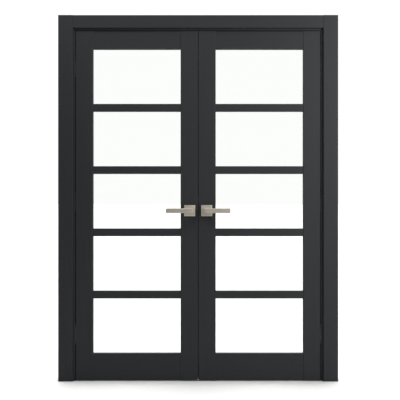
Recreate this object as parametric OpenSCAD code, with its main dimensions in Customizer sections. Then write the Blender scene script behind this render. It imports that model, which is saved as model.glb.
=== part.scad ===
// Pair of glazed interior french doors in their frame, closed, seen from the side they open towards.
// Millimetres. X runs along the opening, -Y faces the room that the leaves open into, +Z is up.
// The origin is on the floor at the middle of the opening, halfway through the whole depth.
// Everything that the two leaves share is drawn on the right-hand side and mirrored for the left.

/* [Leaves] */
// Width of each leaf
leaf_w = 711; // [600:1:915]
// Height of each leaf
leaf_h = 2032; // [1950:1:2200]
// Thickness of the stiles
leaf_t = 40; // [38:1:45]
// Width of each stile
stile_w = 100; // [90:1:130]
// Height of the top rail
top_rail_h = 104; // [80:1:150]
// Height of the bottom rail
bottom_rail_h = 156; // [120:1:220]
// Height of each glazing bar
bar_h = 44; // [38:1:60]
// How far the rails and bars sit behind the faces of the stiles
rail_recess = 2; // [1:0.5:3]
// Radius of the eased edges on stiles, rails and bars
edge_r = 2; // [1:0.5:2]

/* [Glazing] */
// Thickness of the glass
glass_t = 6; // [4:1:6]
// Width of the glazing groove
groove_w = 10; // [9:0.5:12]
// Depth of the glazing groove
groove_d = 12; // [10:0.5:14]
// Thickness of the gasket below the edge of the glass
gasket_web = 2; // [1.5:0.5:3]
// How far the gasket lips stand out of the groove
gasket_lip = 1; // [0.5:0.5:2]

/* [Gaps] */
// Gap between the two leaves
meeting_gap = 3; // [3:0.5:4]
// Gap between each leaf and its jamb, and above the leaves
side_gap = 3; // [3:0.5:4]
// Gap under the leaves
floor_gap = 4; // [3:1:10]
// Space for the seal between the leaves and the stop
seal_gap = 4; // [3:0.5:5]

/* [Frame] */
// Depth of the jambs through the wall
jamb_depth = 110; // [100:1:160]
// Thickness of the jambs at the rebate
jamb_t = 36; // [34:1:45]
// How far the stop stands out from the rebate
stop_h = 12; // [10:1:15]
// How far the leaves sit behind the front edge of the jambs
leaf_recess = 3; // [1:0.5:5]

/* [Casings] */
// Width of the side casings
casing_w = 85; // [75:1:110]
// Height of the head casings
head_casing_h = 75; // [70:1:110]
// Thickness of the casings
casing_t = 14; // [10:1:18]
// How far the casings sit back from the edge of the jamb
reveal = 12; // [8:1:14]
// Radius of the eased front edges of the casings
casing_r = 3; // [1:0.5:4]
// How far the casings are rebated over the outer edges of the jambs
casing_lap = 1; // [0.5:0.5:3]

/* [Handles] */
// Height of the spindles above the floor
handle_z = 991; // [900:1:1050]
// Distance of each spindle from the meeting edge of its leaf
backset = 48; // [46:1:55]
// Width and height of the square roses
rose_w = 64; // [50:1:66]
// Thickness of the roses
rose_t = 9; // [8:0.5:11]
// How far the levers stand off the leaf
lever_reach = 55; // [50:1:60]
// Length of the lever from end to end
lever_l = 152.5; // [120:0.5:155]
// Height of the lever
lever_h = 27; // [18:1:28]
// Thickness of the lever bar
lever_t = 12; // [9:1:14]

/* [Hinges] */
// Height of the bottom, middle and top hinges
hinge_zs = [270, 1040, 1830];
// Length of each hinge cup
cup_h = 120; // [110:1:140]
// Depth of each hinge cup
cup_d = 23; // [23:0.5:24]

/* [Hidden] */
$fn = 48;
SIDES = ["left", "right"];
LITES = 5;

timber = "#2e2f32";
rubber = "#151515";
nickel = "#a8a59e";
steel = "#85878a";
clear = [0.86, 0.93, 0.93, 0.3];

// Levels through the depth, from the lever fronts at the front to the back casings at the back
jamb_y0 = -(jamb_depth + casing_t - (lever_reach - leaf_recess)) / 2;
jamb_y1 = jamb_y0 + jamb_depth;
leaf_y0 = jamb_y0 + leaf_recess;
leaf_y1 = leaf_y0 + leaf_t;
leaf_yc = (leaf_y0 + leaf_y1) / 2;
stop_y = leaf_y1 + seal_gap;

// Lines across the width, on the right-hand side
leaf_x0 = meeting_gap / 2;
leaf_x1 = leaf_x0 + leaf_w;
lite_x0 = leaf_x0 + stile_w;
lite_x1 = leaf_x1 - stile_w;
rebate_x = leaf_x1 + side_gap;
stop_x = rebate_x - stop_h;
jamb_x1 = rebate_x + jamb_t;
spindle_x = leaf_x0 + backset;

// Heights
leaf_z0 = floor_gap;
leaf_z1 = leaf_z0 + leaf_h;
rebate_z = leaf_z1 + side_gap;
stop_z = rebate_z - stop_h;
jamb_z1 = rebate_z + jamb_t;

// Lites and bars, counted from the bottom
lite_h = (leaf_h - top_rail_h - bottom_rail_h - (LITES - 1) * bar_h) / LITES;
rail_t = leaf_t - 2 * rail_recess;
function lite_z(i) = leaf_z0 + bottom_rail_h + (i - 1) * (lite_h + bar_h);

// Casings: a tongue on the back sits in a groove in the edge of the jamb
tongue_u = 14;
tongue_t = 4;
tongue_l = 10;
front_casing_x = rebate_x + reveal;
front_casing_z = rebate_z + reveal;
back_casing_x = stop_x + reveal;
back_casing_z = stop_z + reveal;

// Seal in the stop: a flat head in front of the stop and a barb in a groove
seal_in = 1;
seal_w = 8;
seal_clear = 0.3;
barb_in = 3;
barb_w = 3;
barb_l = 5;

// Meeting seals: a round nose on each leaf; the two noses all but touch when both leaves are shut
nose_w = 3;
nose_clear = 0.02;
nose_root = 3;
nose_y = leaf_y1 - 4;

// Hinges: each leaf turns about a line in front of the gap, and a curved arm runs in both cups
swing_x = leaf_x1 + side_gap / 2;
swing_y = leaf_y0 - 4;
arm_r0 = 17;
arm_r1 = 25;
arm_reach = 60;
arm_h = 76;
arm_clear = 0.5;
arm_end_clear = 2;
cup_w = 21.5;
cup_r = 8;
cup_y0 = swing_y + 6.5;

// Handles: a square spindle, a round shank in the rose and a square neck
spindle_w = 8;
shank_r = 9;
fit_clear = 0.1;
face_clear = 0.3;
neck_w = 28;
spindle_bite = 22;
spindle_bore_r = 10;
lever_edge = 2;
lever_fillet = 6;
rose_edge = 1.5;

// Latch of the right leaf and strike of the left one
plate_w = 18;
plate_t = 3;
plate_r = 3;
latch_z = handle_z + 36;
latch_case_x1 = spindle_x + 16;
latch_case_t = 16;
latch_case_z0 = handle_z - 28;
latch_case_z1 = latch_z + 22;
latch_plate_over = 22;
case_wall = 1.5;
case_hub_r = 8;
latch_bolt_t = 12;
latch_bolt_h = 20;
latch_bolt_l = 38;
latch_bolt_r = 2;
latch_bolt_back = 0.5;
strike_h = 80;
strike_t = 2;
strike_pocket_d = 12.5;
strike_room = 1.5;
strike_wall = 1;

// Flush bolt of the left leaf and its keeper in the head
bolt_x = leaf_x0 + 10;
bolt_r = 4;
bolt_plate_h = 170;
bolt_box_z0 = leaf_z1 - 140;
bolt_box_z1 = leaf_z1 - 40;
bolt_box_x1 = leaf_x0 + 17;
bolt_box_t = 14;
slider_z = bolt_box_z0 + 10;
slider_h = 50;
finger_r = 8;
keeper_w = 36;
keeper_t = 2;
keeper_hole_r = 5;
keeper_depth = 16;

// Fixing holes through the stops of the side jambs
fixing_zs = [150, 650, 1430, 1930];
fixing_y = stop_y + 31;
fixing_r = 3;
fixing_head_r = 6.5;
fixing_head_d = 5;

// Puts the right-hand geometry on one side of the middle
module on_side(side) {
    if (side == "left") mirror([1, 0, 0]) children();
    else children();
}

// Turns front geometry of a leaf to its back face
module on_face(face) {
    if (face == "back") translate([0, 2 * leaf_yc, 0]) mirror([0, 1, 0]) children();
    else children();
}

// Box between two corners
module block(low, high) translate(low) cube(high - low);

// Box centred in the thickness of the leaves
module core_block(x0, x1, t, z0, z1) block([x0, leaf_yc - t / 2, z0], [x1, leaf_yc + t / 2, z1]);

// Flat outlines run along one axis: an outline in YZ along X, one in XZ along Y, one in XY along Z
module along_x(x0, x1) translate([x0, 0, 0]) rotate([90, 0, 90]) linear_extrude(x1 - x0) children();
module along_y(y0, y1) translate([0, y1, 0]) rotate([90, 0, 0]) linear_extrude(y1 - y0) children();
module along_z(z0, z1) translate([0, 0, z0]) linear_extrude(z1 - z0) children();

// Round bar or bore along one axis
module rod_x(x0, x1, y, z, r) translate([x0, y, z]) rotate([0, 90, 0]) cylinder(h = x1 - x0, r = r);
module rod_y(x, y0, y1, z, r) translate([x, y1, z]) rotate([90, 0, 0]) cylinder(h = y1 - y0, r = r);
module rod_z(x, y, z0, z1, r) translate([x, y, z0]) cylinder(h = z1 - z0, r = r);

// Rectangle with four rounded corners, its low corner at the origin
module soft_rect(w, h, r) {
    translate([r, 0]) square([w - 2 * r, h]);
    translate([0, r]) square([w, h - 2 * r]);
    for (x = [r, w - r], y = [r, h - r]) translate([x, y]) circle(r);
}

// ---- Frame ----

// Casing board in section: u across the board, v from the jamb to the room; it covers the jamb up
// to `seat` and laps down its outer edge, onto the wall, beyond that
module casing_outline(w, seat) {
    square([w, casing_t - casing_r]);
    translate([seat, -casing_lap]) square([w - seat, casing_t - casing_r]);
    translate([casing_r, 0]) square([w - 2 * casing_r, casing_t]);
    for (u = [casing_r, w - casing_r]) translate([u, casing_t - casing_r]) circle(casing_r);
}

// Puts a casing drawn on the plane y = 0 and facing +Y on the front or the back of the jambs
module on_wall(face) {
    if (face == "front") translate([0, jamb_y0, 0]) mirror([0, 1, 0]) children();
    else translate([0, jamb_y1, 0]) children();
}

function casing_x(face) = face == "front" ? front_casing_x : back_casing_x;
function casing_z(face) = face == "front" ? front_casing_z : back_casing_z;
function casing_seat(face) = jamb_x1 - casing_x(face);

module side_tongue(face)
    on_wall(face)
        block(
            [casing_x(face) + tongue_u, -tongue_l, 0],
            [casing_x(face) + tongue_u + tongue_t, 1, rebate_z]
        );

module head_tongue(face)
    on_wall(face)
        block(
            [-stop_x, -tongue_l, casing_z(face) + tongue_u],
            [stop_x, 1, casing_z(face) + tongue_u + tongue_t]
        );

module side_casing(face, side)
    color(timber)
        on_side(side) {
            on_wall(face)
                along_z(0, casing_z(face) + head_casing_h)
                    translate([casing_x(face), 0]) casing_outline(casing_w, casing_seat(face));
            side_tongue(face);
        }

module head_casing(face)
    color(timber) {
        on_wall(face)
            translate([0, 0, casing_z(face)])
                along_x(-casing_x(face), casing_x(face))
                    mirror([1, -1]) casing_outline(head_casing_h, casing_seat(face));
        head_tongue(face);
    }

// Outline in XZ of a strip that runs up one jamb, across the head and down the other
module doorway_strip(inset, w)
    difference() {
        translate([-stop_x - inset - w, 0]) square([2 * (stop_x + inset + w), stop_z + inset + w]);
        translate([-stop_x - inset, -1]) square([2 * (stop_x + inset), stop_z + inset + 1]);
    }

module seal_barb() along_y(stop_y, stop_y + barb_l) doorway_strip(barb_in, barb_w);

module frame_seal()
    color(rubber) {
        along_y(leaf_y1 + seal_clear, stop_y) doorway_strip(seal_in, seal_w);
        seal_barb();
    }

// The part of each hinge that is let into a jamb or a stile, without its slot
module cup_blanks(x0, x1)
    for (z = hinge_zs)
        along_x(x0, x1) translate([cup_y0, z - cup_h / 2]) soft_rect(cup_w, cup_h, cup_r);

// A curved band about the line that the leaf turns on, between two angles from +X
module swing_band(a0, a1, spare)
    for (z = hinge_zs)
        translate([swing_x, swing_y, z - arm_h / 2 - spare])
            rotate([0, 0, a0])
                rotate_extrude(angle = a1 - a0)
                    translate([arm_r0 - spare, 0])
                        square([arm_r1 - arm_r0 + 2 * spare, arm_h + 2 * spare]);

module hinge_frame_cups()
    color(steel)
        for (side = SIDES)
            on_side(side)
                difference() {
                    cup_blanks(rebate_x, rebate_x + cup_d);
                    swing_band(90 - arm_reach - arm_end_clear, 95, arm_clear);
                }

module hinge_leaf_cups(side)
    color(steel)
        on_side(side)
            difference() {
                cup_blanks(leaf_x1 - cup_d, leaf_x1);
                swing_band(85, 90 + arm_reach + arm_end_clear, arm_clear);
            }

module hinge_arms(side)
    color(steel) on_side(side) swing_band(90 - arm_reach, 90 + arm_reach, 0);

module side_jamb(side)
    color(timber)
        difference() {
            on_side(side)
                difference() {
                    along_z(0, rebate_z) {
                        translate([rebate_x, jamb_y0]) square([jamb_t, jamb_depth]);
                        translate([stop_x, stop_y]) square([stop_h + 1, jamb_y1 - stop_y]);
                    }
                    for (face = ["front", "back"]) side_tongue(face);
                    cup_blanks(rebate_x, rebate_x + cup_d);
                    for (z = fixing_zs) {
                        rod_x(stop_x - 1, jamb_x1 + 1, fixing_y, z, fixing_r);
                        rod_x(stop_x - 1, stop_x + fixing_head_d, fixing_y, z, fixing_head_r);
                    }
                }
            seal_barb();
        }

module head_jamb()
    color(timber)
        difference() {
            union() {
                block([-jamb_x1, jamb_y0, rebate_z], [jamb_x1, jamb_y1, jamb_z1]);
                block([-stop_x, stop_y, stop_z], [stop_x, jamb_y1, rebate_z + 1]);
            }
            for (face = ["front", "back"]) head_tongue(face);
            seal_barb();
            on_side("left") {
                keeper_blank();
                rod_z(bolt_x, leaf_yc, rebate_z, rebate_z + keeper_depth, keeper_hole_r);
            }
        }

module keeper_blank()
    core_block(bolt_x - keeper_w / 2, bolt_x + keeper_w / 2, plate_w, rebate_z, rebate_z + keeper_t);

module flush_bolt_keeper()
    color(steel)
        on_side("left")
            difference() {
                keeper_blank();
                rod_z(bolt_x, leaf_yc, rebate_z - 1, rebate_z + keeper_t + 1, keeper_hole_r);
            }

// ---- Leaves ----

// Plate let into the meeting edge of a leaf, with rounded corners
module edge_plate(z0, z1, t)
    along_x(leaf_x0, leaf_x0 + t)
        translate([leaf_yc - plate_w / 2, z0]) soft_rect(plate_w, z1 - z0, plate_r);

// Stile with a glazing groove in the edge that faces the glass
module stile(x0, groove_x)
    difference() {
        along_z(leaf_z0, leaf_z1) translate([x0, leaf_y0]) soft_rect(stile_w, leaf_t, edge_r);
        core_block(groove_x, groove_x + groove_d, groove_w, leaf_z0 - 1, leaf_z1 + 1);
    }

module hinge_stile(side)
    color(timber)
        on_side(side)
            difference() {
                stile(leaf_x1 - stile_w, leaf_x1 - stile_w);
                cup_blanks(leaf_x1 - cup_d, leaf_x1);
            }

module meeting_stile(side)
    color(timber)
        on_side(side)
            difference() {
                stile(leaf_x0, lite_x0 - groove_d);
                meeting_seal_root();
                rod_y(spindle_x, leaf_y0 - 1, leaf_y1 + 1, handle_z, spindle_bore_r);
                if (side == "right") latch_blank();
                else {
                    strike_blank();
                    flush_bolt_blank();
                }
            }

// Rail or bar between the stiles: glazing grooves where it meets glass, a tongue at each end
module rail(z0, z1, glass_below, glass_above)
    color(timber) {
        low = z0 + (glass_below ? groove_d : 0);
        high = z1 - (glass_above ? groove_d : 0);
        groove_y = leaf_yc - groove_w / 2;
        along_x(lite_x0, lite_x1)
            difference() {
                translate([leaf_yc - rail_t / 2, z0]) soft_rect(rail_t, z1 - z0, edge_r);
                if (glass_below) translate([groove_y, z0 - 1]) square([groove_w, groove_d + 1]);
                if (glass_above) translate([groove_y, high]) square([groove_w, groove_d + 1]);
            }
        core_block(lite_x0 - groove_d, lite_x1 + groove_d, groove_w, low, high);
    }

module top_rail(side) on_side(side) rail(leaf_z1 - top_rail_h, leaf_z1, true, false);
module bottom_rail(side) on_side(side) rail(leaf_z0, leaf_z0 + bottom_rail_h, false, true);
module bar(side, i) on_side(side) rail(lite_z(i) + lite_h, lite_z(i + 1), true, true);

// Block as large as one lite and `over` more on every side, centred in the thickness
module lite_block(i, over, t)
    core_block(lite_x0 - over, lite_x1 + over, t, lite_z(i) - over, lite_z(i) + lite_h + over);

module glass(side, i)
    color(clear) on_side(side) lite_block(i, groove_d - gasket_web, glass_t);

// The part of the meeting seal that is let into the edge of the leaf
module meeting_seal_root()
    block(
        [leaf_x0, nose_y - nose_w / 2, leaf_z0 - 1],
        [leaf_x0 + nose_root, nose_y + nose_w / 2, leaf_z1 + 1]
    );

module meeting_seal()
    along_z(leaf_z0, leaf_z1)
        translate([leaf_x0, nose_y]) {
            translate([0, -nose_w / 2]) square([nose_root, nose_w]);
            circle(nose_w / 2 - nose_clear);
        }

// Gaskets round the five panes of a leaf, and the seal of its meeting edge
module seals(side)
    color(rubber)
        on_side(side) {
            for (i = [1 : LITES])
                difference() {
                    lite_block(i, groove_d, groove_w);
                    lite_block(i, -gasket_lip, groove_w + 2);
                    lite_block(i, groove_d - gasket_web, glass_t);
                }
            meeting_seal();
        }

// ---- Handles ----

module rose(side, face)
    color(nickel)
        on_side(side) on_face(face)
            difference() {
                translate([spindle_x - rose_w / 2, 0, handle_z - rose_w / 2])
                    intersection() {
                        along_z(0, rose_w) rose_section();
                        along_x(0, rose_w) mirror([1, -1]) rose_section();
                        along_y(leaf_y0 - rose_t, leaf_y0) soft_rect(rose_w, rose_w, rose_edge);
                    }
                rod_y(spindle_x, leaf_y0 - rose_t - 1, leaf_y0 + 1, handle_z, shank_r + fit_clear);
            }

// Section through a rose, square at the leaf and eased at the front
module rose_section() {
    front = leaf_y0 - rose_t;
    translate([0, front + rose_edge]) square([rose_w, rose_t - rose_edge]);
    translate([rose_edge, front]) square([rose_w - 2 * rose_edge, rose_t]);
    for (x = [rose_edge, rose_w - rose_edge]) translate([x, front + rose_edge]) circle(rose_edge);
}

// Lever seen from above: a neck off the rose and a bar that runs away from the meeting edge
module lever_plan() {
    x0 = spindle_x - neck_w / 2 - 1.5;
    x1 = x0 + lever_l;
    y0 = leaf_y0 - lever_reach;
    translate([x0, y0]) soft_rect(lever_l, lever_t, lever_edge);
    translate([x0, y0 + lever_edge])
        square([neck_w, lever_reach - rose_t - face_clear - lever_edge]);
    difference() {
        translate([x0 + neck_w - 1, y0 + lever_t - 1]) square(lever_fillet + 1);
        translate([x0 + neck_w + lever_fillet, y0 + lever_t + lever_fillet]) circle(lever_fillet);
    }
}

// Section of the lever bar, eased along its front edges and square where the neck meets the rose
module lever_section() {
    front = leaf_y0 - lever_reach;
    low = handle_z - lever_h / 2;
    translate([front + lever_edge, low]) square([lever_reach - lever_edge, lever_h]);
    translate([front, low + lever_edge]) square([lever_reach, lever_h - 2 * lever_edge]);
    for (z = [low + lever_edge, low + lever_h - lever_edge])
        translate([front + lever_edge, z]) circle(lever_edge);
}

module lever(side, face)
    color(nickel)
        on_side(side) on_face(face)
            difference() {
                union() {
                    intersection() {
                        along_z(handle_z - lever_h / 2, handle_z + lever_h / 2) lever_plan();
                        along_x(0, spindle_x + lever_l) lever_section();
                    }
                    rod_y(spindle_x, leaf_y0 - rose_t - 1, leaf_y0 - 1, handle_z, shank_r);
                }
                spindle_bar();
            }

module spindle_bar()
    block(
        [spindle_x - spindle_w / 2, leaf_y0 - rose_t - spindle_bite, handle_z - spindle_w / 2],
        [spindle_x + spindle_w / 2, leaf_y1 + rose_t + spindle_bite, handle_z + spindle_w / 2]
    );

module spindle(side) color(steel) on_side(side) spindle_bar();

// ---- Latch, strike and flush bolt ----

// Whole outer shape of the latch case with its face plate, as cut out of the stile
module latch_blank() {
    edge_plate(latch_case_z0 - latch_plate_over, latch_case_z1 + latch_plate_over, plate_t);
    core_block(leaf_x0 + 1, latch_case_x1, latch_case_t, latch_case_z0, latch_case_z1);
}

// Block as tall and as thick as the latch bolt and `spare` more on every side
module latch_bolt_way(x0, x1, spare) {
    half = latch_bolt_h / 2 + spare;
    core_block(x0, x1, latch_bolt_t + 2 * spare, latch_z - half, latch_z + half);
}

module latch_case()
    color(steel)
        difference() {
            latch_blank();
            core_block(
                leaf_x0 + plate_t, latch_case_x1 - case_wall, latch_case_t - 2 * case_wall,
                latch_case_z0 + case_wall, latch_case_z1 - case_wall
            );
            latch_bolt_way(leaf_x0 - 1, leaf_x0 + plate_t + 1, face_clear);
            rod_y(spindle_x, leaf_y0, leaf_y1, handle_z, case_hub_r);
        }

module latch_bolt()
    color(steel)
        along_y(leaf_yc - latch_bolt_t / 2, leaf_yc + latch_bolt_t / 2)
            translate([leaf_x0 + latch_bolt_back, latch_z - latch_bolt_h / 2])
                soft_rect(latch_bolt_l, latch_bolt_h, latch_bolt_r);

module strike_blank() {
    edge_plate(latch_z - strike_h / 2, latch_z + strike_h / 2, strike_t);
    latch_bolt_way(leaf_x0 + 1, leaf_x0 + strike_pocket_d, strike_room + strike_wall);
}

module strike_plate()
    color(steel)
        on_side("left")
            difference() {
                strike_blank();
                latch_bolt_way(leaf_x0 - 1, leaf_x0 + strike_pocket_d - strike_wall, strike_room);
            }

// Whole outer shape of the flush bolt, as cut out of the stile
module flush_bolt_blank() {
    edge_plate(leaf_z1 - bolt_plate_h, leaf_z1, plate_t);
    core_block(leaf_x0, 2 * bolt_x - leaf_x0, plate_w, leaf_z1 - plate_t, leaf_z1);
    core_block(leaf_x0 + 1, bolt_box_x1, bolt_box_t, bolt_box_z0, bolt_box_z1);
    rod_z(bolt_x, leaf_yc, bolt_box_z1 - 1, leaf_z1 - 1, bolt_r + 1);
}

module flush_bolt_body()
    color(steel)
        on_side("left")
            difference() {
                flush_bolt_blank();
                rod_z(bolt_x, leaf_yc, slider_z, leaf_z1 + 1, bolt_r + face_clear);
                core_block(
                    leaf_x0 - 1, bolt_box_x1 - case_wall, bolt_box_t - 2 * case_wall,
                    bolt_box_z0 + case_wall, bolt_box_z1 - case_wall
                );
            }

// Rod and thumb slider in one piece, with two finger hollows in the slider
module flush_bolt_rod()
    color(steel)
        on_side("left") {
            rod_z(bolt_x, leaf_yc, slider_z + slider_h - 1, leaf_z1 - 1, bolt_r);
            difference() {
                core_block(
                    leaf_x0 + 1, bolt_box_x1 - case_wall - face_clear,
                    bolt_box_t - 2 * (case_wall + face_clear), slider_z, slider_z + slider_h
                );
                for (dz = [0.25, 0.75] * slider_h)
                    rod_y(leaf_x0 - 4, leaf_y0, leaf_y1, slider_z + dz, finger_r);
            }
        }

head_jamb();
frame_seal();
hinge_frame_cups();
flush_bolt_keeper();
latch_case();
latch_bolt();
strike_plate();
flush_bolt_body();
flush_bolt_rod();

for (face = ["front", "back"]) {
    head_casing(face);
    for (side = SIDES) {
        side_casing(face, side);
        rose(side, face);
        lever(side, face);
    }
}

for (side = SIDES) {
    side_jamb(side);
    hinge_stile(side);
    meeting_stile(side);
    top_rail(side);
    bottom_rail(side);
    seals(side);
    hinge_leaf_cups(side);
    hinge_arms(side);
    spindle(side);
    for (i = [1 : LITES])
        glass(side, i);
    for (i = [1 : LITES - 1])
        bar(side, i);
}
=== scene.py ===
"""Looks of a pair of glazed french doors in their frame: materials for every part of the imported
model, and the handles, seals and screws modelled in full. Run as a script; metres throughout."""

import math

import bmesh
import bpy
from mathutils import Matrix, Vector


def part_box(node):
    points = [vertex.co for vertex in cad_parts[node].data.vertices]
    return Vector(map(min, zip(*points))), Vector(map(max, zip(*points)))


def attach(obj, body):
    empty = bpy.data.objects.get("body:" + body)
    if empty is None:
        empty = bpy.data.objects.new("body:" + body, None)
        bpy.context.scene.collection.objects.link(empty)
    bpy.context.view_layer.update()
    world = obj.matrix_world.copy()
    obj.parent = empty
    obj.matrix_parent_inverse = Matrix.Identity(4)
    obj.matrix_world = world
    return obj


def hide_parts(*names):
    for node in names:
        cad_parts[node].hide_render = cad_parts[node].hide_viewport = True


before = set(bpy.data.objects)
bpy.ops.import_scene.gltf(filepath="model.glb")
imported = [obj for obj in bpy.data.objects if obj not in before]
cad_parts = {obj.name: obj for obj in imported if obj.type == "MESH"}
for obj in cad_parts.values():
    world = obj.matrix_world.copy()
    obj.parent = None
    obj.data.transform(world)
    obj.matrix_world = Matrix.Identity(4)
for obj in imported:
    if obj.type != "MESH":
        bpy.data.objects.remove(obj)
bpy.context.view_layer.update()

bl_info = {
    "name": "French doors",
    "version": (1, 0, 0),
    "blender": (4, 5, 0),
    "location": "View3D > Sidebar > Doors",
    "description": "Finishes and details of a pair of glazed french doors in their frame",
    "category": "Object",
}

MM = 0.001
SIDES = {"left": -1, "right": 1}
FACES = {"front": -1, "back": 1}


# ---------------------------------------------------------------- colours and settings


def linear(hex_colour):
    """sRGB hex such as "3a3b3e" as a linear RGBA colour."""
    def channel(value):
        return value / 12.92 if value <= 0.04045 else ((value + 0.055) / 1.055) ** 2.4

    return tuple(channel(int(hex_colour[i:i + 2], 16) / 255) for i in (0, 2, 4)) + (1.0,)


def colour_setting(name, description, hex_colour):
    return bpy.props.FloatVectorProperty(
        name=name, description=description, default=linear(hex_colour), size=4,
        subtype="COLOR", min=0, max=1,
    )


def length_setting(name, description, millimetres):
    return bpy.props.FloatProperty(
        name=name, description=description, default=millimetres * MM, min=0,
        subtype="DISTANCE", unit="LENGTH",
    )


class DoorFinish(bpy.types.PropertyGroup):
    foil: colour_setting("Foil", "Colour of the matt foil on all timber", "1d1e20")
    glass: colour_setting("Glass", "Tint of light that passes one face of a pane", "fefffe")
    rubber: colour_setting("Rubber", "Colour of the seals and gaskets", "141415")
    nickel: colour_setting("Nickel", "Colour of the satin nickel handles", "c9c2b6")
    zinc: colour_setting("Zinc", "Colour of the cast hinges", "9b9da1")
    plated: colour_setting("Plated steel", "Colour of plates, bolts and screws", "b9bbbd")
    nylon: colour_setting("Nylon", "Colour of the base under each rose", "1d1d1f")
    foil_roughness: bpy.props.FloatProperty(
        name="Foil roughness", description="Roughness of the matt foil", default=0.6,
        min=0, max=1, subtype="FACTOR",
    )


class DoorSizes(bpy.types.PropertyGroup):
    lever_thickness: length_setting("Lever thickness", "Thickness of the lever bar", 12)
    lever_edge: length_setting("Lever edge", "Radius of the eased edges of the levers", 1.6)
    neck_width: length_setting("Neck width", "Width of the square neck of the levers", 28)
    neck_fillet: length_setting("Neck fillet", "Radius between neck and bar", 6)
    face_gap: length_setting("Face gap", "Gap between a neck and its rose", 0.3)
    shank_radius: length_setting("Shank radius", "Radius of the round shank in the rose", 9)
    rose_rim: length_setting("Rose rim", "Width of the sloping rim of the roses", 5)
    rose_slope: length_setting("Rose slope", "How far the rim falls away", 1.2)
    rose_base: length_setting("Rose base", "Thickness of the nylon base of the roses", 1.2)
    gasket_web: length_setting("Gasket web", "Thickness of the gasket beyond the edge of a pane", 2)
    gasket_lip: length_setting("Gasket lip", "Thickness of the gasket on each face of a pane", 2)
    gasket_height: length_setting("Gasket height", "Height of the gasket lips from the web", 13)
    nose_width: length_setting("Nose width", "Width of the round nose of the meeting seals", 3)
    nose_depth: length_setting("Nose depth", "From the back of a leaf to its meeting seal", 4)
    seal_width: length_setting("Seal width", "Width of the frame seal", 8)
    seal_depth: length_setting("Seal depth", "How far the frame seal stands out of the stop", 3.7)
    seal_round: length_setting("Seal rounding", "Radius of the edges of the frame seal", 1.5)
    screw_radius: length_setting("Screw radius", "Radius of the countersunk screw heads", 3.2)
    screw_rise: length_setting("Screw rise", "How far a screw head stands proud", 0.25)


class DoorStage(bpy.types.PropertyGroup):
    eye_height: length_setting("Eye height", "Height of the camera above the floor", 1053)
    eye_distance: length_setting("Eye distance", "Distance of the camera from the doors", 5050)
    eye_aside: length_setting("Eye aside", "How far the camera stands to the right", 10.8)
    lens: bpy.props.FloatProperty(
        name="Lens", description="Focal length of the camera in millimetres", default=77.6,
        min=1, unit="CAMERA",
    )
    floor: colour_setting("Floor", "Colour of the plain pale floor", "f4f4f3")
    floor_front: length_setting("Floor front", "How far the floor reaches towards the camera", 2000)
    room: bpy.props.FloatProperty(
        name="Room", description="Brightness of the room in front of the doors", default=0.12, min=0,
    )
    backdrop: bpy.props.FloatProperty(
        name="Backdrop", description="Brightness of the backdrop behind the doors", default=1.15,
        min=0,
    )
    seen: bpy.props.FloatProperty(
        name="Seen", description="Brightness of the backdrop as the camera sees it", default=1.06,
        min=0,
    )
    overhead: bpy.props.FloatProperty(
        name="Overhead", description="Strength of the large light overhead", default=3.75, min=0,
    )
    softbox: bpy.props.FloatProperty(
        name="Softbox", description="Power of the softbox on the right", default=98, min=0,
        unit="POWER",
    )
    top_light: bpy.props.FloatProperty(
        name="Top light", description="Power of the strip light above the doors", default=53,
        min=0, unit="POWER",
    )


def finish_settings():
    return bpy.context.scene.door_finish


def size_settings():
    return bpy.context.scene.door_sizes


# ---------------------------------------------------------------- modelling by hand


def clear_selection():
    if bpy.context.object and bpy.context.object.mode != "OBJECT":
        bpy.ops.object.mode_set(mode="OBJECT")
    bpy.ops.object.select_all(action="DESELECT")


def activate(piece):
    clear_selection()
    piece.select_set(True)
    bpy.context.view_layer.objects.active = piece


def settle(name):
    """Names the new primitive and moves its place and size into its mesh."""
    piece = bpy.context.object
    piece.name = piece.data.name = name
    bpy.ops.object.transform_apply(location=True, rotation=True, scale=True)
    return piece


def block(name, corner, opposite):
    """Box between two opposite corners, given in any order."""
    a, b = Vector(corner), Vector(opposite)
    clear_selection()
    bpy.ops.mesh.primitive_cube_add(size=1, location=(a + b) / 2)
    bpy.context.object.scale = [abs(size) for size in b - a]
    return settle(name)


def cylinder(name, start, end, radius, sides=48):
    """Round bar from one point to another."""
    a, b = Vector(start), Vector(end)
    clear_selection()
    bpy.ops.mesh.primitive_cylinder_add(
        vertices=sides, radius=radius, depth=(b - a).length, location=(a + b) / 2,
        rotation=Vector((0, 0, 1)).rotation_difference(b - a).to_euler(),
    )
    return settle(name)


def pick(piece, kind, test):
    """In edit mode, selects just the faces or edges that pass the test."""
    bpy.ops.mesh.select_mode(type=kind)
    bpy.ops.mesh.select_all(action="DESELECT")
    mesh = bmesh.from_edit_mesh(piece.data)
    mesh.normal_update()
    chosen = [part for part in (mesh.faces if kind == "FACE" else mesh.edges) if test(part)]
    if not chosen:
        raise RuntimeError(f"{piece.name}: nothing to pick")
    for part in chosen:
        part.select_set(True)
    mesh.select_flush_mode()
    bmesh.update_edit_mesh(piece.data)


def faces_towards(*direction):
    """Test for faces that look along a direction."""
    aim = Vector(direction).normalized()
    return lambda face: face.normal.dot(aim) > 0.99


def edges_within(low, high):
    """Test for edges that lie wholly between two corners."""
    def test(edge):
        return all(low[i] - 1e-6 <= v.co[i] <= high[i] + 1e-6 for v in edge.verts for i in range(3))
    return test


def edit(piece):
    activate(piece)
    bpy.ops.object.mode_set(mode="EDIT")


def done():
    bpy.ops.object.mode_set(mode="OBJECT")


def pull(*offset):
    """Extrudes the picked faces and moves them."""
    bpy.ops.mesh.extrude_region_move(TRANSFORM_OT_translate={"value": offset})


def finish_with(piece, kind, **settings):
    """Adds a modifier and applies it."""
    activate(piece)
    modifier = piece.modifiers.new(kind, kind)
    for name, value in settings.items():
        setattr(modifier, name, value)
    bpy.ops.object.modifier_apply(modifier=modifier.name)


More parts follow.
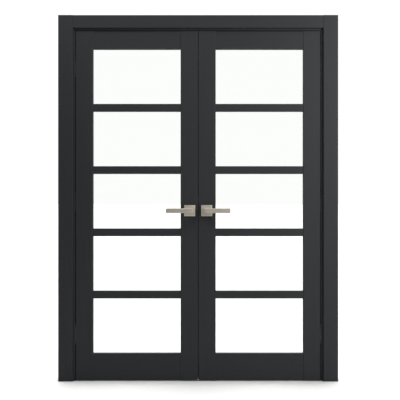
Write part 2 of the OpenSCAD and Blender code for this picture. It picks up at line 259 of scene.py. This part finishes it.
def smooth(piece, angle=30):
    """Shades curved faces smooth and keeps flat faces flat."""
    activate(piece)
    bpy.ops.object.shade_smooth_by_angle(angle=math.radians(angle))
    finish_with(piece, "WEIGHTED_NORMAL", keep_sharp=True)


def ease(piece, radius, segments=3, angle=30):
    """Rounds every sharp edge."""
    finish_with(
        piece, "BEVEL", width=radius, segments=segments, limit_method="ANGLE",
        angle_limit=math.radians(angle), use_clamp_overlap=True,
    )
    smooth(piece, angle)


def cut(piece, tool):
    """Cuts one piece out of another and removes the tool."""
    finish_with(piece, "BOOLEAN", operation="DIFFERENCE", object=tool, solver="EXACT")
    bpy.data.objects.remove(tool)


def join(name, parts):
    activate(parts[0])
    for part in parts:
        part.select_set(True)
    bpy.ops.object.join()
    parts[0].name = parts[0].data.name = name
    return parts[0]


def dress(piece, material, slot, body, *nodes):
    """Gives a finished piece its material and its body, and hides the CAD nodes it stands for. The slot
    is not used.
    """
    piece.data.materials.clear()
    piece.data.materials.append(material)
    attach(piece, body)
    if nodes:
        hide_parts(*nodes)
    return piece


def paint(node, material):
    """Gives a CAD node its material."""
    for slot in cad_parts[node].material_slots:
        slot.material = material


def middle(node):
    low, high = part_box(node)
    return (low + high) / 2


# ---------------------------------------------------------------- materials


def add(tree, kind, values=None, links=None, **settings):
    """Adds a node with its settings, its input values and its links."""
    node = tree.nodes.new(kind)
    for name, value in settings.items():
        setattr(node, name, value)
    for name, value in (values or {}).items():
        node.inputs[name].default_value = value
    for name, output in (links or {}).items():
        tree.links.new(output, node.inputs[name])
    return node


def new_material(name):
    """An empty material with its output, as (material, node tree, output node)."""
    material = bpy.data.materials.get(name) or bpy.data.materials.new(name)
    material.use_nodes = True
    material.node_tree.nodes.clear()
    return material, material.node_tree, material.node_tree.nodes.new("ShaderNodeOutputMaterial")


def pattern(tree, size_mm, detail=2.0, roughness=0.5):
    """Noise whose features measure size_mm (x, y, z) on the object."""
    place = add(tree, "ShaderNodeTexCoord").outputs["Object"]
    stretch = add(
        tree, "ShaderNodeMapping", {"Scale": [1 / (size * MM) for size in size_mm]}, {"Vector": place}
    )
    return add(
        tree, "ShaderNodeTexNoise", {"Scale": 1.0, "Detail": detail, "Roughness": roughness},
        {"Vector": stretch.outputs["Vector"]},
    ).outputs["Fac"]


def ramp(tree, value, low, high):
    """The value spread from low to high."""
    return add(
        tree, "ShaderNodeMapRange", {"From Min": 0.3, "From Max": 0.7, "To Min": low, "To Max": high},
        {"Value": value},
    ).outputs["Result"]


def shade(tree, colour, value):
    """The colour made lighter and darker by a value round 1."""
    return add(
        tree, "ShaderNodeVectorMath", {0: colour[:3]}, {"Scale": value}, operation="SCALE"
    ).outputs["Vector"]


def relief(tree, height, depth_mm, strength=1.0):
    """Bump whose full height is depth_mm."""
    return add(
        tree, "ShaderNodeBump", {"Strength": strength, "Distance": depth_mm * MM}, {"Height": height}
    ).outputs["Normal"]


def timber_foil(grain):
    """Matt wood-effect foil, hot-glued and wrapped round a timber core. Its film is embossed with
    fine pores along the grain, so the dark surface has a soft sheen and no mirror reflections."""
    settings = finish_settings()
    material, tree, output = new_material(f"foil_wrapped_timber_{grain}_grain")
    along = {"upright": 2, "level": 0}[grain]
    # pores in the film are 0.3 mm wide; they are drawn 1.4 mm wide, so that a close view shows them
    pores = pattern(tree, [60 if axis == along else 1.4 for axis in range(3)], detail=3.0)
    # figure of the printed film: soft streaks some 12 mm wide and half a metre long
    figure = pattern(tree, [500 if axis == along else 12 for axis in range(3)])
    surface = add(
        tree, "ShaderNodeBsdfPrincipled", {"Specular IOR Level": 0.2, "IOR": 1.5},
        {
            "Base Color": shade(tree, settings.foil, ramp(tree, figure, 0.93, 1.07)),
            "Roughness": ramp(
                tree, pores, settings.foil_roughness - 0.03, settings.foil_roughness + 0.05
            ),
            "Normal": relief(tree, pores, 0.05),
        },
    )
    tree.links.new(surface.outputs["BSDF"], output.inputs["Surface"])
    return material


def float_glass():
    """Clear float glass with polished faces: light passes straight through a thin pane, and each
    face mirrors 4% of it when seen square on and more at a slant, by Schlick's rule."""
    material, tree, output = new_material("clear_float_glass")
    through = add(tree, "ShaderNodeBsdfTransparent", {"Color": finish_settings().glass})
    mirror = add(tree, "ShaderNodeBsdfGlossy", {"Color": (1, 1, 1, 1), "Roughness": 0.02})
    slant = add(tree, "ShaderNodeLayerWeight", {"Blend": 0.5})
    steep = add(tree, "ShaderNodeMath", {1: 5.0}, {0: slant.outputs["Facing"]}, operation="POWER")
    share = add(
        tree, "ShaderNodeMapRange", {"To Min": 0.04, "To Max": 1.0}, {"Value": steep.outputs["Value"]}
    )
    surface = add(
        tree, "ShaderNodeMixShader", None,
        {0: share.outputs["Result"], 1: through.outputs["BSDF"], 2: mirror.outputs["BSDF"]},
    )
    tree.links.new(surface.outputs["Shader"], output.inputs["Surface"])
    return material


def extruded_rubber():
    """Black rubber profile, extruded and cured: dull, with faint lines along the extrusion."""
    material, tree, output = new_material("extruded_rubber")
    lines = pattern(tree, (0.8, 0.8, 0.8))
    surface = add(
        tree, "ShaderNodeBsdfPrincipled", {"IOR": 1.5},
        {
            "Base Color": shade(tree, finish_settings().rubber, ramp(tree, lines, 0.85, 1.15)),
            "Roughness": ramp(tree, lines, 0.55, 0.7),
            "Normal": relief(tree, lines, 0.04),
        },
    )
    tree.links.new(surface.outputs["BSDF"], output.inputs["Surface"])
    return material


def satin_nickel():
    """Zinc casting, brushed along its length and nickel plated under clear lacquer: warm grey metal
    with blurred reflections, drawn out across the brush lines."""
    material, tree, output = new_material("satin_nickel_plate")
    # brush lines are 0.05 mm wide; they are drawn 0.5 mm wide, so that a close view shows them
    brushed = pattern(tree, (45, 0.5, 0.5), detail=3.0)
    cloud = pattern(tree, (9, 9, 9))
    surface = add(
        tree, "ShaderNodeBsdfPrincipled", {"Metallic": 1.0},
        {
            "Base Color": shade(tree, finish_settings().nickel, ramp(tree, cloud, 0.96, 1.04)),
            "Roughness": ramp(tree, brushed, 0.4, 0.52),
            "Normal": relief(tree, brushed, 0.012),
        },
    )
    tree.links.new(surface.outputs["BSDF"], output.inputs["Surface"])
    return material


def cast_zinc():
    """Pressure-cast zinc, vibrated smooth: grey metal with a fine even mottle."""
    material, tree, output = new_material("die_cast_zinc")
    mottle = pattern(tree, (2.5, 2.5, 2.5), detail=3.0)
    surface = add(
        tree, "ShaderNodeBsdfPrincipled", {"Metallic": 1.0},
        {
            "Base Color": shade(tree, finish_settings().zinc, ramp(tree, mottle, 0.88, 1.08)),
            "Roughness": ramp(tree, mottle, 0.36, 0.5),
            "Normal": relief(tree, mottle, 0.02),
        },
    )
    tree.links.new(surface.outputs["BSDF"], output.inputs["Surface"])
    return material


def plated_steel():
    """Rolled steel, barrel plated with bright zinc: cool light metal, lightly streaked."""
    material, tree, output = new_material("zinc_plated_steel")
    streaks = pattern(tree, (1.5, 1.5, 25))
    surface = add(
        tree, "ShaderNodeBsdfPrincipled", {"Metallic": 1.0},
        {
            "Base Color": shade(tree, finish_settings().plated, ramp(tree, streaks, 0.9, 1.06)),
            "Roughness": ramp(tree, streaks, 0.22, 0.34),
            "Normal": relief(tree, streaks, 0.01),
        },
    )
    tree.links.new(surface.outputs["BSDF"], output.inputs["Surface"])
    return material


def moulded_nylon():
    """Black glass-filled nylon, moulded against a spark-eroded tool: dull and finely grained."""
    material, tree, output = new_material("moulded_nylon")
    grit = pattern(tree, (0.4, 0.4, 0.4))
    surface = add(
        tree, "ShaderNodeBsdfPrincipled", {"IOR": 1.53},
        {
            "Base Color": shade(tree, finish_settings().nylon, ramp(tree, grit, 0.9, 1.1)),
            "Roughness": ramp(tree, grit, 0.5, 0.62),
            "Normal": relief(tree, grit, 0.03),
        },
    )
    tree.links.new(surface.outputs["BSDF"], output.inputs["Surface"])
    return material


def painted_floor():
    """Plain pale studio floor, rolled with matt paint."""
    material, tree, output = new_material("matt_floor_paint")
    roller = pattern(tree, (4, 4, 4))
    surface = add(
        tree, "ShaderNodeBsdfPrincipled",
        {"Base Color": bpy.context.scene.door_stage.floor, "Roughness": 0.8},
        {"Normal": relief(tree, roller, 0.05)},
    )
    tree.links.new(surface.outputs["BSDF"], output.inputs["Surface"])
    return material


# ---------------------------------------------------------------- operators


class DOORS_OT_timber(bpy.types.Operator):
    """Foil on the jambs, casings, stiles, rails and bars, with the grain along each piece"""

    bl_idname = "doors.timber"
    bl_label = "Timber"

    def execute(self, context):
        upright, level = timber_foil("upright"), timber_foil("level")
        for side in SIDES:
            for part in ("jamb", "hinge_stile", "meeting_stile"):
                paint(f"{side}_{part}", upright)
            for face in FACES:
                paint(f"{face}_{side}_casing", upright)
            for part in ("top_rail", "bottom_rail", "bar_1", "bar_2", "bar_3", "bar_4"):
                paint(f"{side}_{part}", level)
        for part in ("head_jamb", "front_head_casing", "back_head_casing"):
            paint(part, level)
        return {"FINISHED"}


class DOORS_OT_glazing(bpy.types.Operator):
    """Clear panes, and a gasket of U section round each one"""

    bl_idname = "doors.glazing"
    bl_label = "Glazing"

    def execute(self, context):
        glass, rubber = float_glass(), extruded_rubber()
        for side in SIDES:
            panes = [f"{side}_glass_{i}" for i in range(1, 6)]
            for pane in panes:
                paint(pane, glass)
            gaskets = [glazing_gasket(side, pane) for pane in panes]
            dress(
                join(f"{side}_leaf_seals", [*gaskets, meeting_seal(side)]), rubber, "seal",
                f"{side}_leaf", f"{side}_seals",
            )
        return {"FINISHED"}


def glazing_gasket(side, pane):
    """U-section gasket round one pane: a band round its edge, with a rounded lip on each face."""
    sizes = size_settings()
    low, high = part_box(pane)
    reach = Vector((sizes.gasket_web, sizes.gasket_lip, sizes.gasket_web))
    outer_low, outer_high = low - reach, high + reach
    centre = (outer_low + outer_high) / 2
    size = outer_high - outer_low
    shrink = [1 - 2 * sizes.gasket_height / size[axis] if axis != 1 else 1 for axis in range(3)]
    piece = block(f"{pane}_gasket", outer_low, outer_high)
    edit(piece)
    pick(piece, "FACE", lambda face: abs(face.normal.y) > 0.99)
    bpy.ops.mesh.delete(type="ONLY_FACE")
    for y in (outer_low.y, outer_high.y):
        pick(piece, "EDGE", edges_within((outer_low.x, y, outer_low.z), (outer_high.x, y, outer_high.z)))
        bpy.ops.mesh.extrude_edges_move()
        bpy.ops.transform.resize(value=shrink, center_override=(centre.x, y, centre.z))
    bpy.ops.mesh.select_all(action="SELECT")
    bpy.ops.mesh.normals_make_consistent(inside=False)
    done()
    finish_with(piece, "SOLIDIFY", thickness=sizes.gasket_lip, offset=-1, use_even_offset=True)
    ease(piece, 0.45 * MM, segments=2)
    return piece


def meeting_seal(side):
    """Round-nosed seal let into the meeting edge of one leaf."""
    away = SIDES[side]
    sizes = size_settings()
    stile_low, stile_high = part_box(f"{side}_meeting_stile")
    seals_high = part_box(f"{side}_seals")[1]
    radius = sizes.nose_width / 2
    nose_x = away * 0.005 * MM
    nose_y = stile_high.y - sizes.nose_depth
    piece = block(
        f"{side}_meeting_seal", (nose_x, nose_y - radius, stile_low.z),
        (nose_x + away * 3 * radius, nose_y + radius, seals_high.z),
    )
    edit(piece)
    pick(
        piece, "EDGE",
        lambda edge: all(abs(v.co.x - nose_x) < 1e-6 for v in edge.verts)
        and abs(edge.verts[0].co.z - edge.verts[1].co.z) > radius,
    )
    bpy.ops.mesh.bevel(offset=radius * 0.98, segments=6, affect="EDGES")
    done()
    smooth(piece, 40)
    return piece


class DOORS_OT_frame_seal(bpy.types.Operator):
    """The rubber seal that runs up both stops and across the head"""

    bl_idname = "doors.frame_seal"
    bl_label = "Frame seal"

    def execute(self, context):
        sizes = size_settings()
        low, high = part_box("frame_seal")
        # a closed ring round the doorway, whose bottom bar is then cut off at the floor
        piece = block(
            "doorway_seal", (low.x, low.y, low.z - 2 * sizes.seal_width),
            (high.x, low.y + sizes.seal_depth, high.z),
        )
        edit(piece)
        pick(piece, "FACE", lambda face: abs(face.normal.y) > 0.99)
        bpy.ops.mesh.inset(thickness=sizes.seal_width, use_even_offset=True, use_individual=True)
        bpy.ops.mesh.bridge_edge_loops()
        bpy.ops.mesh.select_all(action="SELECT")
        bpy.ops.mesh.bisect(
            plane_co=(0, 0, low.z), plane_no=(0, 0, 1), clear_inner=True, use_fill=True
        )
        done()
        ease(piece, sizes.seal_round, segments=4, angle=50)
        dress(piece, extruded_rubber(), "seal", "frame", "frame_seal")
        return {"FINISHED"}


def rose(side, face):
    """Square rose: a brushed cover with a sloping rim and a fine step inside it, on a nylon base."""
    sizes = size_settings()
    out = FACES[face]
    low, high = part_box(f"{side}_{face}_rose")
    spindle = middle(f"{side}_spindle")
    leaf_y, front_y = (high.y, low.y) if out < 0 else (low.y, high.y)
    seat_y = leaf_y + out * sizes.rose_base
    rim_y = front_y - out * sizes.rose_slope
    step, step_width = 0.35 * MM, 0.7 * MM
    shadow_gap = 1.0 * MM
    past = 5 * MM

    cover = block(f"{side}_{face}_rose_cover", (low.x, seat_y, low.z), (high.x, rim_y, high.z))
    edit(cover)
    pick(cover, "FACE", faces_towards(0, out, 0))
    bpy.ops.mesh.inset(thickness=sizes.rose_rim)
    bpy.ops.transform.translate(value=(0, front_y - rim_y, 0))
    bpy.ops.mesh.inset(thickness=step_width / 2)
    pull(0, -out * step, 0)
    bpy.ops.mesh.inset(thickness=step_width)
    pull(0, out * step, 0)
    done()
    bore = cylinder(
        "bore", (spindle.x, seat_y - out * past, spindle.z),
        (spindle.x, front_y + out * past, spindle.z), sizes.shank_radius + 0.1 * MM,
    )
    cut(cover, bore)
    ease(cover, 0.5 * MM, segments=3, angle=20)

    base = block(
        f"{side}_{face}_rose_base", (low.x + shadow_gap, leaf_y, low.z + shadow_gap),
        (high.x - shadow_gap, seat_y, high.z - shadow_gap),
    )
    bore = cylinder(
        "bore", (spindle.x, leaf_y - out * past, spindle.z),
        (spindle.x, seat_y + out * past, spindle.z), sizes.shank_radius + 0.5 * MM,
    )
    cut(base, bore)
    ease(base, 0.25 * MM, segments=2)
    return cover, base


def lever(side, face):
    """Straight square lever: neck, bar and round shank in one casting, with a grub screw below."""
    sizes = size_settings()
    away, out = SIDES[side], FACES[face]
    low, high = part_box(f"{side}_{face}_lever")
    rose_low, rose_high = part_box(f"{side}_{face}_rose")
    spindle = middle(f"{side}_spindle")
    inner_x, tip_x = (low.x, high.x) if away > 0 else (high.x, low.x)
    front_y, shank_y = (low.y, high.y) if out < 0 else (high.y, low.y)
    neck_y = (rose_low.y if out < 0 else rose_high.y) + out * sizes.face_gap
    back_y = front_y - out * sizes.lever_thickness
    neck_x = inner_x + away * sizes.neck_width

    bar = block(f"{side}_{face}_lever_casting", (inner_x, front_y, low.z), (neck_x, back_y, high.z))
    edit(bar)
    pick(bar, "FACE", faces_towards(away, 0, 0))
    pull(tip_x - neck_x, 0, 0)
    pick(
        bar, "FACE",
        lambda part: part.normal.y * -out > 0.99
        and abs(part.calc_center_median().x - (inner_x + neck_x) / 2) < MM,
    )
    pull(0, neck_y - back_y, 0)
    pick(bar, "EDGE", edges_within((neck_x, back_y, low.z), (neck_x, back_y, high.z)))
    bpy.ops.mesh.bevel(offset=sizes.neck_fillet, segments=8, affect="EDGES")
    done()

    grub_y = (neck_y + back_y) / 2
    grub_radius, grub_length, grub_sunk = 2.5 * MM, 4 * MM, 0.8 * MM
    hole = cylinder(
        "hole", (spindle.x, grub_y, low.z - MM), (spindle.x, grub_y, low.z + grub_length + MM),
        grub_radius, 32,
    )
    cut(bar, hole)
    ease(bar, sizes.lever_edge, segments=4, angle=40)

    shank = cylinder(
        "shank", (spindle.x, neck_y + out * MM, spindle.z), (spindle.x, shank_y, spindle.z),
        sizes.shank_radius,
    )
    ease(shank, 0.5 * MM, segments=2)
    casting = join(f"{side}_{face}_lever_casting", [bar, shank])

    grub = cylinder(
        f"{side}_{face}_lever_grub_screw",
        (spindle.x, grub_y, low.z + grub_sunk), (spindle.x, grub_y, low.z + grub_sunk + grub_length),
        grub_radius - 0.1 * MM, 32,
    )
    socket = cylinder(
        "socket", (spindle.x, grub_y, low.z), (spindle.x, grub_y, low.z + grub_sunk + grub_length / 2),
        1.4 * MM, 6,
    )
    cut(grub, socket)
    ease(grub, 0.2 * MM, segments=2)
    return casting, grub


class DOORS_OT_roses(bpy.types.Operator):
    """The square rose on each face of each leaf"""

    bl_idname = "doors.roses"
    bl_label = "Roses"

    def execute(self, context):
        nickel, nylon = satin_nickel(), moulded_nylon()
        for side in SIDES:
            for face in FACES:
                cover, base = rose(side, face)
                dress(cover, nickel, "satin_nickel", f"{side}_leaf", f"{side}_{face}_rose")
                dress(base, nylon, "satin_nickel", f"{side}_leaf")
        return {"FINISHED"}


class DOORS_OT_levers(bpy.types.Operator):
    """The levers, their grub screws and the square spindles that join them"""

    bl_idname = "doors.levers"
    bl_label = "Levers"

    def execute(self, context):
        nickel, steel = satin_nickel(), plated_steel()
        for side in SIDES:
            paint(f"{side}_spindle", steel)
            for face in FACES:
                casting, grub = lever(side, face)
                dress(casting, nickel, "satin_nickel", f"{side}_handle", f"{side}_{face}_lever")
                dress(grub, steel, "lock_steel", f"{side}_handle")
        return {"FINISHED"}


def screw_head():
    """Countersunk head with a cross recess, facing up at the origin."""
    sizes = size_settings()
    sunk, crown, crown_width = 0.9 * MM, 0.12 * MM, 0.8 * MM
    slot_reach, slot_width, slot_depth = 2.1 * MM, 0.9 * MM, 0.7 * MM
    head = cylinder("screw", (0, 0, -sunk), (0, 0, sizes.screw_rise), sizes.screw_radius, 32)
    edit(head)
    pick(head, "FACE", faces_towards(0, 0, 1))
    bpy.ops.mesh.inset(thickness=crown_width)
    bpy.ops.transform.translate(value=(0, 0, crown))
    done()
    for turn in (45, 135):
        slot = block(
            "slot", (-slot_reach, -slot_width / 2, -slot_depth), (slot_reach, slot_width / 2, 2 * MM)
        )
        slot.rotation_euler.z = math.radians(turn)
        bpy.ops.object.transform_apply(location=False, rotation=True, scale=False)
        cut(head, slot)
    ease(head, 0.08 * MM, segments=1)
    return head


def place_copy(master, point, normal):
    """A copy of a piece made at the origin, moved to a point and turned to face along a normal."""
    activate(master)
    bpy.ops.object.duplicate()
    piece = bpy.context.object
    piece.location = point
    piece.rotation_euler = Vector((0, 0, 1)).rotation_difference(Vector(normal)).to_euler()
    bpy.ops.object.transform_apply(location=True, rotation=True, scale=True)
    return piece


def hinge_heights():
    """Middle height of each hinge, from the tops and bottoms of the arms."""
    levels = sorted({round(v.co.z, 4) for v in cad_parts["right_hinge_arms"].data.vertices})
    return [(low + high) / 2 for low, high in zip(levels[::2], levels[1::2])]


def screw_places():
    """Where the screws of each body go: body to a list of (point, the way the head faces)."""
    places = {"frame": [], "left_leaf": [], "right_leaf": []}
    cup_screw = 49 * MM
    hinge_gap = 3 * MM
    for side, away in SIDES.items():
        low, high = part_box(f"{side}_hinge_leaf_cups")
        leaf_edge = max(abs(low.x), abs(high.x))
        jamb_face = leaf_edge + hinge_gap
        y = (low.y + high.y) / 2
        for z in hinge_heights():
            for dz in (-cup_screw, cup_screw):
                places[f"{side}_leaf"].append(((away * leaf_edge, y, z + dz), (away, 0, 0)))
                places["frame"].append(((away * jamb_face, y, z + dz), (-away, 0, 0)))
    # upright plates: the leaf, the way the screws face, and how far they sit from bottom and top
    for plate, body, facing, from_bottom, from_top in (
        ("latch_case", "right_leaf", -1, 9, 9), ("strike_plate", "left_leaf", 1, 9, 9),
        ("flush_bolt_body", "left_leaf", 1, 11, 20),
    ):
        low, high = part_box(plate)
        x = high.x if facing > 0 else low.x
        for z in (low.z + from_bottom * MM, high.z - from_top * MM):
            places[body].append(((x, (low.y + high.y) / 2, z), (facing, 0, 0)))
    low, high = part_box("flush_bolt_keeper")
    keeper_screw = 6 * MM
    for x in (low.x + keeper_screw, high.x - keeper_screw):
        places["frame"].append(((x, (low.y + high.y) / 2, low.z), (0, 0, -1)))
    return places


class DOORS_OT_hinges(bpy.types.Operator):
    """Cups and arms of the concealed hinges"""

    bl_idname = "doors.hinges"
    bl_label = "Hinges"

    def execute(self, context):
        zinc = cast_zinc()
        paint("hinge_frame_cups", zinc)
        for side in SIDES:
            paint(f"{side}_hinge_leaf_cups", zinc)
            paint(f"{side}_hinge_arms", zinc)
        return {"FINISHED"}


class DOORS_OT_locks(bpy.types.Operator):
    """Latch, strike, flush bolt and keeper, and the screws of all the ironmongery"""

    bl_idname = "doors.locks"
    bl_label = "Latch, bolt and screws"

    def execute(self, context):
        steel = plated_steel()
        for node in (
            "latch_case", "latch_bolt", "strike_plate", "flush_bolt_body", "flush_bolt_rod",
            "flush_bolt_keeper",
        ):
            paint(node, steel)
        master = screw_head()
        for body, places in screw_places().items():
            screws = join(f"{body}_screws", [place_copy(master, *place) for place in places])
            dress(screws, steel, "lock_steel", body)
        bpy.data.objects.remove(master)
        return {"FINISHED"}


class DOORS_OT_stage(bpy.types.Operator):
    """Pale floor, soft studio light and the camera"""

    bl_idname = "doors.stage"
    bl_label = "Stage"

    def execute(self, context):
        scene = context.scene
        settings = scene.door_stage
        clear_selection()
        half = 100
        bpy.ops.mesh.primitive_plane_add(size=2 * half, location=(0, half - settings.floor_front, 0))
        floor = settle("studio_floor")
        floor.data.materials.append(painted_floor())

        world = bpy.data.worlds.new("studio")
        world.use_nodes = True
        tree = world.node_tree
        tree.nodes.clear()
        # a white backdrop stands behind the doors, and the rest of the room is dim
        towards = add(
            tree, "ShaderNodeSeparateXYZ", None,
            {"Vector": add(tree, "ShaderNodeTexCoord").outputs["Generated"]},
        )
        backdrop = add(
            tree, "ShaderNodeMapRange",
            {"From Min": 0.0, "From Max": 0.5, "To Min": settings.room, "To Max": settings.backdrop},
            {"Value": towards.outputs["Y"]},
        )
        lit = add(
            tree, "ShaderNodeBackground", {"Color": (1, 1, 1, 1)},
            {"Strength": backdrop.outputs["Result"]},
        )
        seen = add(tree, "ShaderNodeBackground", {"Color": (1, 1, 1, 1), "Strength": settings.seen})
        rays = add(tree, "ShaderNodeLightPath")
        both = add(
            tree, "ShaderNodeMixShader", None,
            {
                0: rays.outputs["Is Camera Ray"], 1: lit.outputs["Background"],
                2: seen.outputs["Background"],
            },
        )
        output = tree.nodes.new("ShaderNodeOutputWorld")
        tree.links.new(both.outputs["Shader"], output.inputs["Surface"])
        scene.world = world
        scene.view_settings.view_transform = "Standard"

        studio_light(
            "overhead", "SUN", (0.2, 0.9, 4), (0, 0, 0), settings.overhead, angle=math.radians(100)
        )
        # the softboxes light the doors and leave the floor with its soft shadow
        flagged = bpy.data.collections.new("flagged_off")
        flagged.objects.link(floor)
        flagged.collection_objects[0].light_linking.link_state = "EXCLUDE"
        for lamp in (
            studio_light(
                "softbox_right", "AREA", (2.1, -1.5, 1.85), (0.3, 0, 1.2), settings.softbox,
                shape="RECTANGLE", size=0.9, size_y=2.0,
            ),
            studio_light(
                "softbox_top", "AREA", (-1.0, -1.6, 3.6), (0, 0, 1.6), settings.top_light,
                shape="RECTANGLE", size=1.8, size_y=0.6,
            ),
        ):
            lamp.light_linking.receiver_collection = flagged

        camera = bpy.data.cameras.new("eye")
        camera.lens = settings.lens
        camera.sensor_width = 36
        camera.clip_end = 500
        eye = bpy.data.objects.new("eye", camera)
        eye.location = (settings.eye_aside, -settings.eye_distance, settings.eye_height)
        eye.rotation_euler = (math.radians(90), 0, 0)
        scene.collection.objects.link(eye)
        scene.camera = eye
        return {"FINISHED"}


def studio_light(name, kind, place, target, energy, **settings):
    """A lamp at a place that points at a target."""
    data = bpy.data.lights.new(name, kind)
    data.energy = energy
    for key, value in settings.items():
        setattr(data, key, value)
    lamp = bpy.data.objects.new(name, data)
    lamp.location = place
    lamp.rotation_euler = (Vector(target) - Vector(place)).to_track_quat("-Z", "Y").to_euler()
    bpy.context.scene.collection.objects.link(lamp)
    return lamp


OPERATORS = (
    DOORS_OT_stage, DOORS_OT_timber, DOORS_OT_glazing, DOORS_OT_frame_seal, DOORS_OT_roses,
    DOORS_OT_levers, DOORS_OT_hinges, DOORS_OT_locks,
)


class VIEW3D_PT_doors(bpy.types.Panel):
    """Settings and building steps of the doors"""

    bl_label = "French doors"
    bl_space_type = "VIEW_3D"
    bl_region_type = "UI"
    bl_category = "Doors"

    def draw(self, context):
        for title, group in (
            ("Finish", context.scene.door_finish), ("Sizes", context.scene.door_sizes),
            ("Stage", context.scene.door_stage),
        ):
            box = self.layout.box()
            box.label(text=title)
            for name in group.__annotations__:
                box.prop(group, name)
        for operator in OPERATORS:
            self.layout.operator(operator.bl_idname)


CLASSES = (DoorFinish, DoorSizes, DoorStage, *OPERATORS, VIEW3D_PT_doors)


def register():
    for cls in CLASSES:
        bpy.utils.register_class(cls)
    bpy.types.Scene.door_finish = bpy.props.PointerProperty(type=DoorFinish)
    bpy.types.Scene.door_sizes = bpy.props.PointerProperty(type=DoorSizes)
    bpy.types.Scene.door_stage = bpy.props.PointerProperty(type=DoorStage)


def unregister():
    del bpy.types.Scene.door_finish
    del bpy.types.Scene.door_sizes
    del bpy.types.Scene.door_stage
    for cls in reversed(CLASSES):
        bpy.utils.unregister_class(cls)


def main():
    register()
    for operator in OPERATORS:
        area, name = operator.bl_idname.split(".")
        if getattr(getattr(bpy.ops, area), name)() != {"FINISHED"}:
            raise RuntimeError(f"{operator.bl_idname} didn't finish")
    clear_selection()


if __name__ == "__main__":
    main()
